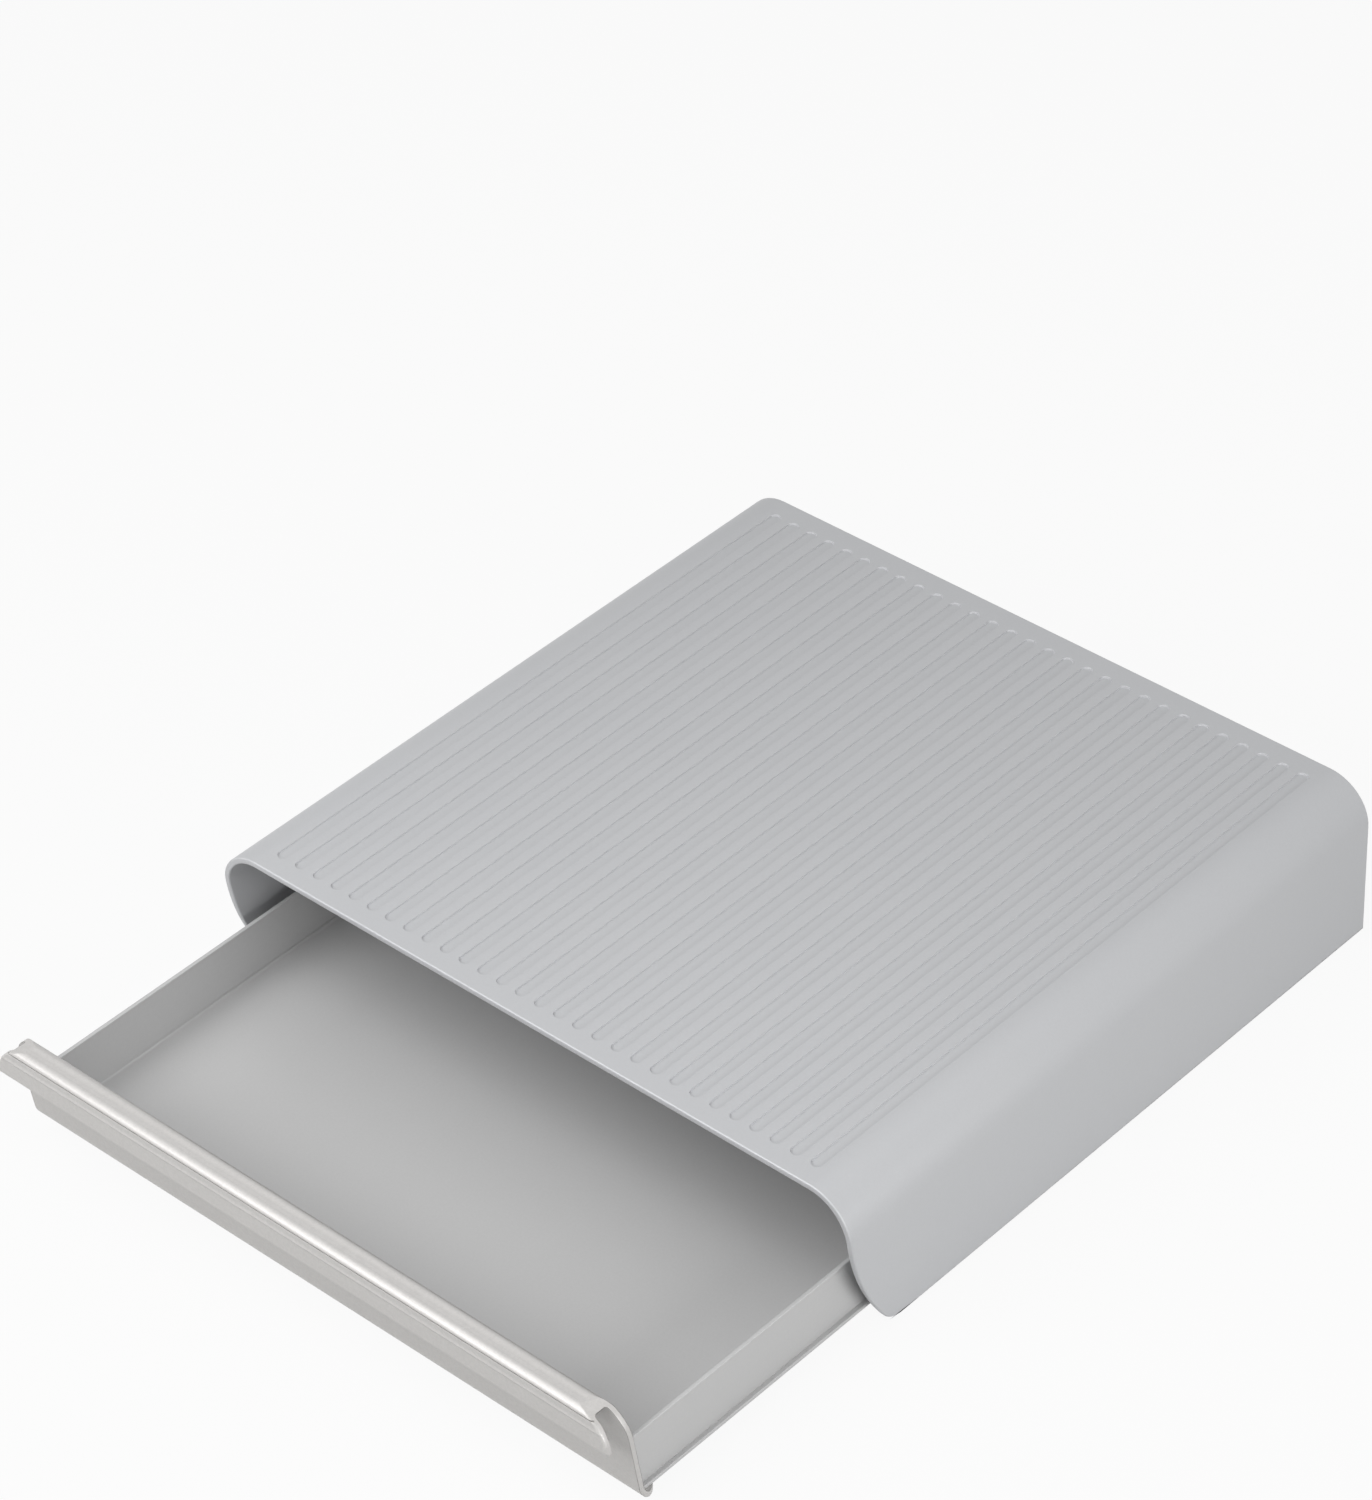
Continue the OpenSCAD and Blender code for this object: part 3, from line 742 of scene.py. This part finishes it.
def front_profile(sizes):
    """Side view of the front, from the flange over the flap and back to the curl's inside."""
    top = FRONT_HIGH.z - FRONT_LOW.z
    flap_foot = top - sizes.drop

    # The bead, the nose that turns it under, and the groove below them
    bead_from, bead_to, nose_from = 150, 75, 225
    set_back = 0.3 * MM
    bead_d, bead_z = sizes.bead + set_back, top - sizes.bead
    nose_d = bead_d + (sizes.bead - sizes.nose) * cos(radians(bead_from))
    nose_z = bead_z + (sizes.bead - sizes.nose) * sin(radians(bead_from))
    nose = arc(nose_d, nose_z, sizes.nose, nose_from, bead_from, 6)
    bead = arc(bead_d, bead_z, sizes.bead, bead_from, bead_to, 12)[1:]
    groove_d = nose_d + sizes.nose
    groove_z = nose_z + sizes.nose * sin(radians(nose_from)) - sizes.groove

    def flap_face(z):
        """Distance of the flap's face, which leans back ever more toward the groove."""
        return sizes.tilt * max(0, (z - flap_foot) / (groove_z - flap_foot)) ** 1.5

    edge, sink = 0.1 * MM, 0.3 * MM
    groove = [(flap_face(groove_z - MM), groove_z - MM),
              (flap_face(groove_z - edge), groove_z - edge),
              (flap_face(groove_z) + edge, groove_z),
              (groove_d, groove_z - sink), (groove_d, groove_z + 0.5 * sizes.groove)]

    # The flange under the tray, the curl and the panel
    lean_angle = 180 + degrees(sizes.lean)
    curl_d = curl_centre(sizes)
    flange_end = curl_d + sizes.flange - sizes.curl
    under = [(flange_end, sizes.wall), (flange_end, 0)]
    curl = arc(curl_d, sizes.curl, sizes.curl, 270, lean_angle, 16)
    inner = arc(curl_d, sizes.curl, sizes.curl - sizes.wall, lean_angle, 270, 14)

    # The finger gap, with fillets in its roof that pass each corner at 0.3 of their radius
    roof = gap_roof(sizes)
    gap_back, gap_front = panel_face(sizes, roof), sizes.bow + sizes.flap
    fillet = 0.8 * MM
    pass_by = 0.3 * fillet
    gap = [(panel_face(sizes, roof - fillet), roof - fillet),
           (gap_back - pass_by, roof - pass_by), (gap_back - fillet, roof),
           (gap_front + fillet, roof), (gap_front + pass_by, roof - pass_by),
           (gap_front, roof - fillet)]

    # The flap: its back thins toward a round hem, and its face carries a fine ridge
    hem_thin = 0.4 * MM
    hem = (sizes.flap - hem_thin) / 2
    hem_z = flap_foot + hem
    ridge_at, ridge_h = 0.57, 0.5 * MM
    ridge_z = flap_foot + ridge_at * sizes.drop
    flap = [(flap_face(z) + sizes.flap - thin, z)
            for z, thin in zip(steps(roof - fillet, hem_z, 6), steps(0, hem_thin, 6))]
    flap += arc(flap_face(hem_z) + hem, hem_z, hem, 0, -180, 10)
    flap += [(flap_face(z), z) for z in steps(hem_z, ridge_z - ridge_h, 5)]
    flap += [(flap_face(ridge_z) - sizes.ridge, ridge_z),
             (flap_face(ridge_z) - sizes.ridge, ridge_z + ridge_h),
             (flap_face(ridge_z + 2 * ridge_h), ridge_z + 2 * ridge_h)]

    # The shallow dip behind the bead, deepest toward it, and the round brow over the panel
    brow = 4 * MM
    brow_z = top - brow
    brow_d = panel_face(sizes, brow_z) + (sizes.wall - brow) / cos(sizes.lean)
    over = []
    for u in (1 / 6, 2 / 6, 3 / 6, 4 / 6, 5 / 6):
        sag = sizes.dip * (1 - (2 * u - 1) ** 2) * (1 - 0.3 * u)
        over.append((bead_d + (brow_d - bead_d) * (1 + 3 * u) / 4, top - sag))
    over += arc(brow_d, brow_z, brow, 90, 0, 12)
    return under + curl + gap + flap + groove + nose + bead + over + inner


def flap_y(sizes):
    """Where the foot of the flap's face lies, behind the ridge that stands furthest out."""
    return FRONT_LOW.y - min(d for d, z in front_profile(sizes))


def front_end(sizes, height):
    """Distance from the middle to the front's end, which the round top corners draw in."""
    rise = min(max(0, height - (FRONT_HIGH.z - sizes.corner)), sizes.corner)
    return FRONT_HIGH.x - sizes.corner + sqrt(sizes.corner ** 2 - rise ** 2)


class POD_OT_front(Operator):
    """Model the drawer's front: leaning panel, curl, roofed finger gap, flap and bead"""

    bl_idname = "pod.front"
    bl_label = "Drawer front"

    def execute(self, context):
        sizes = context.scene.pod_front
        face = flap_y(sizes)
        points = [(FRONT_LOW.x, face + d, FRONT_LOW.z + z) for d, z in front_profile(sizes)]
        front = trace("drawer_front_panel", points + points[:1])
        merge_close()
        bpy.ops.mesh.edge_face_add()
        take_all()
        extrude((FRONT_HIGH.x - FRONT_LOW.x, 0, 0))
        corner_cuts = 24
        for i in range(corner_cuts):
            rise = sizes.corner * sin(pi / 2 * i / corner_cuts)
            cut((0, 0, FRONT_HIGH.z - sizes.corner + rise), (0, 0, 1))
        self.round_rim(front, sizes, face)
        self.round_corners(front, sizes)
        self.round_flange(front, sizes)
        edit(front)
        round_over(front, sizes.edge, 2, lambda e: sharp(e, 50)
                   and middle(e).y > face + sizes.flap
                   and all(self.on_end(v.co, sizes) for v in e.verts))
        face_outwards()
        rest()
        self.drill(front)
        dress(front, "front", "drawer", "drawer_front")
        return {"FINISHED"}

    def round_rim(self, front, sizes, face):
        """Draws the flap's face back toward both ends, ring by ring, into a quarter round.
        The line at the spine, inside the flap, stays where it is."""
        spine, rings = face + 2.3 * MM, 5
        for i in range(rings + 1):
            turn = pi / 2 * i / rings
            place = FRONT_HIGH.x - sizes.rim * (1 - sin(turn))
            if i < rings:
                cut((place, 0, 0), (1, 0, 0), 0.005 * MM)
                cut((-place, 0, 0), (1, 0, 0), 0.005 * MM)
            if i:
                pick(front, "VERT", lambda v: near(abs(v.co.x), place, 0.001 * MM)
                     and v.co.y < spine)
                squash = 1 - sizes.rim * (1 - cos(turn)) / (spine - face)
                scale(1, squash, 1, (0, spine, 0))

    def round_corners(self, front, sizes):
        """Draws both ends in along the round top corners, one height at a time."""
        bend = FRONT_HIGH.z - sizes.corner
        mesh = bmesh.from_edit_mesh(front.data)
        for height in sorted({round(v.co.z, 7) for v in mesh.verts if v.co.z > bend}):
            pick(front, "VERT", lambda v: near(v.co.z, height, 0.0001 * MM))
            scale(front_end(sizes, height) / FRONT_HIGH.x, 1, 1)

    def round_flange(self, front, sizes):
        """Rounds the flange's rear corners, seen from below."""
        radius, height, past = sizes.flange_corner, 15 * MM, MM
        y, low = FRONT_HIGH.y - radius, FRONT_LOW.z - past
        for side in (-1, 1):
            x = side * (FRONT_HIGH.x - radius)
            ends = sorted((x, side * (FRONT_HIGH.x + past)))
            corner = block("corner", (ends[0], y, low),
                           (ends[1], FRONT_HIGH.y + past, low + height))
            carve(corner, peg("round", (x, y, low - past), radius, height + 2 * past, 96))
            carve(front, corner)

    def on_end(self, place, sizes):
        """Whether a place lies on the front's left or right end or on a flange corner."""
        radius = sizes.flange_corner
        back = place.y - (FRONT_HIGH.y - radius)
        if back > 0:
            return near(hypot(abs(place.x) - (FRONT_HIGH.x - radius), back), radius)
        return near(abs(place.x), front_end(sizes, place.z))

    def drill(self, front):
        """Plain holes in the flange for the screws that hold the tray."""
        radius, height = 1.25 * MM, 6 * MM
        for place in centres("front_screws"):
            carve(front, peg("hole", (place.x, place.y, FRONT_LOW.z - MM), radius, height, 32))


# The tray


class POD_OT_tray(Operator):
    """Model the tray: floor, walls, runners, stop lugs and screw bosses"""

    bl_idname = "pod.tray"
    bl_label = "Drawer tray"

    def execute(self, context):
        sizes = context.scene.pod_tray
        front = context.scene.pod_front
        tray = self.shell(sizes, front)
        self.round_edges(tray, sizes)
        join(tray, self.lugs(sizes) + self.bosses(sizes))
        dress(tray, "tray", "drawer", "drawer_tray")
        return {"FINISHED"}

    def shell(self, sizes, front):
        """Floor plate cut into strips, with the outer strips raised into walls."""
        wall_x = TRAY_HIGH.x - sizes.runner
        inner_x = wall_x - sizes.wall
        rear_y = TRAY_HIGH.y
        floor_top = TRAY_LOW.z + sizes.wall
        start_y = self.front_y(sizes, front, floor_top)
        tray = block("drawer_tray_shell", (-TRAY_HIGH.x, start_y, TRAY_LOW.z),
                     (TRAY_HIGH.x, rear_y, floor_top))
        edit(tray)
        for x in (-wall_x, -inner_x, inner_x, wall_x):
            cut((x, 0, 0), (1, 0, 0))
        cut((0, rear_y - sizes.wall, 0), (0, 1, 0))
        curl_top = FRONT_LOW.z + front.curl
        level = floor_top
        for height in steps(floor_top, curl_top, 4) + [TRAY_HIGH.z]:
            pick(tray, "FACE", lambda f: upward(f) and near(middle(f).z, level)
                 and abs(middle(f).x) < wall_x
                 and (abs(middle(f).x) > inner_x or middle(f).y > rear_y - sizes.wall))
            extrude((0, 0, height - level))
            level = height
            pick(tray, "VERT", lambda v: near(v.co.z, height) and v.co.y < 0)
            shift = self.front_y(sizes, front, height) - start_y
            bpy.ops.transform.translate(value=(0, shift, 0))
            start_y += shift
        return tray

    def front_y(self, sizes, front, height):
        """Where the tray ends against the back of the drawer's front, at a height."""
        return flap_y(front) + panel_back(front, height - FRONT_LOW.z) + sizes.gap

    def round_edges(self, tray, sizes):
        """Fillets inside the tray and small rounds on its outer edges."""
        floor_top = TRAY_LOW.z + sizes.wall
        inner_x = TRAY_HIGH.x - sizes.runner - sizes.wall
        inner_y = TRAY_HIGH.y - sizes.wall
        round_over(tray, sizes.fillet, 5, lambda e: sharp(e, 60) and lies_at(e, "z", floor_top)
                   and (lies_at(e, "x", inner_x) or lies_at(e, "y", inner_y)))
        round_over(tray, sizes.edge, 3, lambda e: sharp(e, 60)
                   and any(lies_at(e, axis, getattr(TRAY_HIGH, axis)) for axis in "xyz"))

    def lugs(self, sizes):
        """Stop lugs outside the side walls, which meet the stop blocks at full travel."""
        reach, length, spare = 1.5 * MM, 8 * MM, 0.3 * MM
        root = margin = edge = 0.4 * MM
        wall_x = TRAY_HIGH.x - sizes.runner
        stop_low, stop_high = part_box("right_stop_block")
        travel = frame["joints"][0]["range_m"][1]
        low_y = stop_high.y + travel + spare
        made = []
        for side in (-1, 1):
            ends = sorted((side * (wall_x - root), side * (wall_x + reach)))
            lug = block("lug", (ends[0], low_y, stop_low.z + margin),
                        (ends[1], low_y + length, stop_high.z - margin))
            edit(lug)
            round_over(lug, edge, 2, lambda e: lies_at(e, "x", wall_x + reach))
            made.append(lug)
        return made

    def bosses(self, sizes):
        """Bosses above the screws that hold the front."""
        floor_top = TRAY_LOW.z + sizes.wall
        root, edge = 0.4 * MM, 0.5 * MM
        made = []
        for place in centres("front_screws"):
            post = peg("boss", (place.x, place.y, floor_top - root), sizes.boss,
                       sizes.boss_height + root, 40)
            edit(post)
            round_over(post, edge, 3, lambda e: sharp(e, 60) and middle(e).z > floor_top + MM)
            made.append(post)
        return made


# Base, rear panel and rails: their solids, with softened edges


def softened(node, name, width):
    """A merged copy of a CAD solid whose sharp edges are rounded."""
    piece = copied(frame["nodes"][node], name)
    piece.parent = None
    edit(piece)
    merge_close()
    bpy.ops.mesh.dissolve_limited(angle_limit=radians(0.5))
    round_over(piece, width, 2, sharp)
    return piece


class POD_OT_carcass(Operator):
    """Finish the base panel, the rear panel, the rails and their stop blocks"""

    bl_idname = "pod.carcass"
    bl_label = "Base, back and rails"

    def execute(self, context):
        # Node, width of its rounded edges in millimetres, finish
        rows = [("base_panel", 0.25, "base"), ("rear_panel", 0.30, "cover"),
                ("left_rail", 0.20, "rail"), ("right_rail", 0.20, "rail"),
                ("left_stop_block", 0.30, "rail"), ("right_stop_block", 0.30, "rail")]
        for node, width, finish in rows:
            piece = softened(node, f"{node}_moulding", width * MM)
            dress(piece, finish, "housing", node)
        return {"FINISHED"}


# Feet, buffers and screws


class POD_OT_rubber(Operator):
    """Model the four feet and the two buffers"""

    bl_idname = "pod.rubber"
    bl_label = "Feet and buffers"

    def execute(self, context):
        sizes = context.scene.pod_hardware
        for end in ("front", "rear"):
            for side in ("left", "right"):
                self.foot(f"{end}_{side}_foot", sizes)
        for side in ("left", "right"):
            self.buffer(f"{side}_buffer", sizes)
        return {"FINISHED"}

    def foot(self, node, sizes):
        """A dished pad under the base, with the stem that plugs into it."""
        draft, rim, dish = 0.6 * MM, 2.6 * MM, 0.5 * MM
        low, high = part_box(node)
        centre = (low + high) / 2
        radius = (high.x - low.x) / 2
        pad = peg(f"{node}_pad", (centre.x, centre.y, 0), radius, BASE_LOW.z, 56)
        edit(pad)
        pick(pad, "FACE", lambda f: f.normal.z < -0.9)
        narrow = (radius - draft) / radius
        scale(narrow, narrow, 1, (centre.x, centre.y, 0))
        bpy.ops.mesh.inset(thickness=rim)
        bpy.ops.transform.translate(value=(0, 0, dish))
        pick(pad, "FACE", upward)
        bpy.ops.mesh.inset(thickness=radius - sizes.stem)
        extrude((0, 0, high.z - BASE_LOW.z))
        round_over(pad, sizes.foot_round, 4, lambda e: sharp(e) and lies_at(e, "z", 0))
        dress(pad, "rubber", "housing", node)

    def buffer(self, node, sizes):
        """A round pad in front of the rear panel, with a stem through it."""
        low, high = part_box(node)
        centre = (low + high) / 2
        radius = (high.x - low.x) / 2
        panel_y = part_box("rear_panel")[0].y
        pad = peg(f"{node}_pad", (centre.x, panel_y, centre.z), radius, panel_y - low.y,
                  turn=FORWARD)
        edit(pad)
        pick(pad, "FACE", lambda f: f.normal.y > 0.9)
        bpy.ops.mesh.inset(thickness=radius / 2)
        extrude((0, high.y - panel_y, 0))
        round_over(pad, sizes.buffer_round, 3, lambda e: sharp(e) and lies_at(e, "y", low.y))
        dress(pad, "rubber", "housing", node)


class POD_OT_screws(Operator):
    """Model the pan-head and countersunk screws with their cross recesses"""

    bl_idname = "pod.screws"
    bl_label = "Screws"

    def execute(self, context):
        self.row("rail_screws", "housing")
        self.row("stop_block_screws", "housing")
        self.row("rear_panel_screws", "housing", turn=FORWARD)
        self.row("front_screws", "drawer", sunk=True)
        return {"FINISHED"}

    def row(self, node, body, turn=UP, sunk=False):
        """One screw for each solid of the node, its cross turned further than the last one's."""
        sizes, turn_each = bpy.context.scene.pod_hardware, 0.7
        screws = []
        for i, (low, high) in enumerate(loose_parts(node)):
            place = (low + high) / 2
            if turn == FORWARD:
                place.y, length = high.y, high.y - low.y
            else:
                place.z, length = low.z, high.z - low.z
            screw = self.screw(f"{node}_{i}", sizes, length, sunk)
            carve(screw, self.cross(sizes, turn_each * i))
            settle(screw, place, turn)
            screws.append(screw)
        first = join(screws[0], screws[1:])
        first.name = first.data.name = f"{node}_set"
        dress(first, "steel", body, node)

    def screw(self, name, sizes, length, sunk):
        """A screw that stands on its head at the origin, which is domed or countersunk."""
        sides, dome, tip = 40, 0.55, 0.2
        piece = peg(name, (0, 0, 0), sizes.head, sizes.head_height, sides)
        edit(piece)
        if sunk:
            pick(piece, "FACE", upward)
            scale(sizes.shank / sizes.head, sizes.shank / sizes.head, 1)
        else:
            round_over(piece, dome * sizes.head_height, 4, lambda e: lies_at(e, "z", 0))
            pick(piece, "FACE", upward)
            bpy.ops.mesh.inset(thickness=sizes.head - sizes.shank)
        pick(piece, "FACE", lambda f: upward(f) and len(f.verts) == sides)
        extrude((0, 0, length - sizes.head_height - sizes.shank))
        extrude((0, 0, sizes.shank))
        scale(tip, tip, 1)
        rest()
        return piece

    def cross(self, sizes, turn):
        """Tapered cutter for the cross recess in the head at the origin."""
        taper = 0.6
        arm, width, depth = sizes.cross / 2, sizes.cross_width / 2, sizes.cross_depth
        bars = []
        for x, y in ((arm, width), (width, arm)):
            bar = block("cross", (-x, -y, -depth), (x, y, depth))
            edit(bar)
            pick(bar, "VERT", lambda v: v.co.z > 0)
            scale(taper, taper, 1)
            bars.append(bar)
        carve(*bars, "UNION")
        settle(bars[0], turn=(0, 0, turn))
        return bars[0]


# The studio. Each lamp's place, aim, width and height in metres, and power in watts.

SOFTBOXES = {
    "key_softbox": ((-0.28, -0.80, 1.10), (0, -0.15, 0.05), 1.25, 1.25, 13.6),
    "right_softbox": ((1.20, -0.15, 0.35), (0.10, 0, 0.05), 0.80, 0.50, 7.6),
    "overhead_softbox": ((0.25, -0.15, 1.10), (0, 0, 0), 0.70, 0.70, 1.5),
    "front_softbox": ((-0.50, -1.10, 0.75), (0, -0.20, 0.05), 0.90, 0.50, 4.6),
}


def softbox(name, place, aim, width, height, power):
    """A rectangular white area light at a place, aimed at a point."""
    rest()
    bpy.ops.object.light_add(type="AREA", location=place)
    lamp = bpy.context.object
    lamp.name = name
    lamp.rotation_euler = (Vector(aim) - Vector(place)).to_track_quat("-Z", "Y").to_euler()
    lamp.data.shape = "RECTANGLE"
    lamp.data.size, lamp.data.size_y = width, height
    lamp.data.energy = power


def seen_directly(tree):
    """1 for camera, glossy and transmission rays, 0 for the rays that light the object."""
    ray = add(tree, "LightPath").outputs
    seen = ray["Is Camera Ray"]
    for other in ("Is Glossy Ray", "Is Transmission Ray"):
        seen = add(tree, "Math", [(0, seen), (1, ray[other])], operation="ADD",
                   use_clamp=True).outputs[0]
    return seen


def floor_paper(colour):
    """Matt paper backdrop, which mostly glows white where the camera sees it, so that the
    object's shadow stays faint."""
    glow_share = 0.93
    material = bpy.data.materials.new("Studio paper")
    tree = bare_tree(material)
    paper = add(tree, "BsdfDiffuse", Color=shade(colour, 1))
    glow = add(tree, "Emission", Color=(1, 1, 1, 1), Strength=1)
    share = ranged(tree, seen_directly(tree), 0, glow_share)
    mix = add(tree, "MixShader", [(0, share), (1, paper.outputs[0]), (2, glow.outputs[0])])
    add(tree, "OutputMaterial", [("Surface", mix.outputs[0])])
    return material


def studio_world():
    """An even surround, white where the camera sees it and dim where it lights the object."""
    dim, white = 0.20, 1.0
    world = bpy.data.worlds.new("Studio surround")
    bpy.context.scene.world = world
    tree = bare_tree(world)
    level = ranged(tree, seen_directly(tree), dim, white)
    back = add(tree, "Background", [("Strength", level)], Color=(1, 1, 1, 1))
    add(tree, "OutputWorld", [("Surface", back.outputs[0])])


class POD_OT_stage(Operator):
    """Set up the floor, the soft studio light and the camera"""

    bl_idname = "pod.stage"
    bl_label = "Studio"

    def execute(self, context):
        settings = context.scene.pod_stage
        rest()
        bpy.ops.mesh.primitive_plane_add(size=12)
        floor = named("studio_floor")
        floor.data.materials.append(floor_paper(list(settings.floor)))
        studio_world()
        for name, lamp in SOFTBOXES.items():
            softbox(name, *lamp)
        self.camera(context.scene, settings)
        context.scene.view_settings.view_transform = "Standard"
        return {"FINISHED"}

    def camera(self, scene, settings):
        """A long lens that looks down over the drawer's right front corner."""
        bpy.ops.object.camera_add()
        camera = bpy.context.object
        camera.name = "studio_camera"
        level = cos(settings.elevation)
        towards = Vector((-sin(settings.azimuth) * level,
                          cos(settings.azimuth) * level, -sin(settings.elevation)))
        roll = Matrix.Rotation(settings.roll, 3, "Z").to_quaternion()
        camera.rotation_euler = (towards.to_track_quat("-Z", "Y") @ roll).to_euler()
        camera.location = Vector(settings.target) - towards * settings.distance
        camera.data.lens = settings.lens
        camera.data.sensor_width = 36
        camera.data.clip_end = 20
        scene.camera = camera


class POD_PT_panel(Panel):
    """Sidebar panel with the steps in their order"""

    bl_idname = "POD_PT_panel"
    bl_label = "Pod Drawer"
    bl_space_type = "VIEW_3D"
    bl_region_type = "UI"
    bl_category = "Pod Drawer"

    def draw(self, context):
        for operator in STEPS:
            self.layout.operator(operator.bl_idname)
        for name in GROUPS:
            owner = getattr(context.scene, name)
            box = self.layout.box()
            for key in owner.__annotations__:
                box.prop(owner, key)


STEPS = (POD_OT_cover, POD_OT_front, POD_OT_tray, POD_OT_carcass, POD_OT_rubber,
         POD_OT_screws, POD_OT_stage)
GROUPS = {"pod_cover": CoverSizes, "pod_front": FrontSizes, "pod_tray": TraySizes,
          "pod_hardware": HardwareSizes, "pod_colours": FinishColours,
          "pod_stage": StageSettings}
CLASSES = (*GROUPS.values(), *STEPS, POD_PT_panel)


def register():
    for item in CLASSES:
        bpy.utils.register_class(item)
    for name, group in GROUPS.items():
        setattr(bpy.types.Scene, name, PointerProperty(type=group))


def unregister():
    for name in GROUPS:
        delattr(bpy.types.Scene, name)
    for item in reversed(CLASSES):
        bpy.utils.unregister_class(item)


def main():
    """Registers the add-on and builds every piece."""
    register()
    bpy.ops.pod.cover()
    bpy.ops.pod.front()
    bpy.ops.pod.tray()
    bpy.ops.pod.carcass()
    bpy.ops.pod.rubber()
    bpy.ops.pod.screws()
    bpy.ops.pod.stage()
    rest()


if __name__ == "__main__":
    main()
